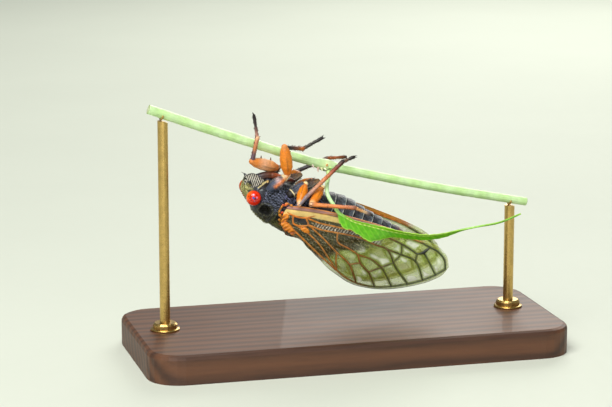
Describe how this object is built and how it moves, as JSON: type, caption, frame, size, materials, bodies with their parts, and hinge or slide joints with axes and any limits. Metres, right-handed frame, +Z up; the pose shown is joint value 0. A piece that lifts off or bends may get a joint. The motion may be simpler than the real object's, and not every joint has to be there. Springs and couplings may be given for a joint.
{
  "type": "periodical cicada model on a display stand",
  "caption": "Life-size red-eyed periodical cicada hanging back down under a cut green stem with a leaf, held over a flat base by two rods.",
  "frame": {"origin": "centre of the underside of the stand's base", "axes": "+X along the stem, from the insect's head to its wing tips; +Y away from the viewed side; +Z up"},
  "size_m": [0.067, 0.03, 0.0399],
  "materials": {
    "shell_black": "semi-gloss blue-black insect shell with fine grey hairs and cream edges",
    "eye_red": "glossy orange-red compound eye",
    "leg_orange": "glossy orange leg, darker at the joints",
    "claw_dark": "dark brown-black feet and feelers",
    "wing_membrane": "clear, faintly yellow-green membrane with orange and dark veins",
    "stem_green": "smooth pale green stem",
    "leaf_green": "bright green leaf with a fine toothed edge",
    "base_wood": "satin dark wood",
    "rod_brass": "satin brass"
  },
  "bodies": {
    "root": {"abdomen": "shell_black", "antenna_left": "claw_dark", "antenna_right": "claw_dark", "eye_left": "eye_red", "eye_right": "eye_red", "forewing_left": "wing_membrane", "forewing_right": "wing_membrane", "head": "shell_black", "hindwing_left": "wing_membrane", "hindwing_right": "wing_membrane", "leg_front_left_coxa": "shell_black", "leg_front_left_femur": "leg_orange", "leg_front_left_tarsus": "claw_dark", "leg_front_left_tibia": "leg_orange", "leg_front_right_coxa": "shell_black", "leg_front_right_femur": "leg_orange", "leg_front_right_tarsus": "claw_dark", "leg_front_right_tibia": "leg_orange", "leg_hind_left_coxa": "shell_black", "leg_hind_left_femur": "leg_orange", "leg_hind_left_tarsus": "claw_dark", "leg_hind_left_tibia": "leg_orange", "leg_hind_right_coxa": "shell_black", "leg_hind_right_femur": "leg_orange", "leg_hind_right_tarsus": "claw_dark", "leg_hind_right_tibia": "leg_orange", "leg_middle_left_coxa": "shell_black", "leg_middle_left_femur": "leg_orange", "leg_middle_left_tarsus": "claw_dark", "leg_middle_left_tibia": "leg_orange", "leg_middle_right_coxa": "shell_black", "leg_middle_right_femur": "leg_orange", "leg_middle_right_tarsus": "claw_dark", "leg_middle_right_tibia": "leg_orange", "mesothorax": "shell_black", "perch_leaf": "leaf_green", "perch_stem": "stem_green", "pronotum": "shell_black", "rostrum": "shell_black", "stand_base": "base_wood", "stand_rod_left": "rod_brass", "stand_rod_right": "rod_brass"}
  },
  "joints": []
}
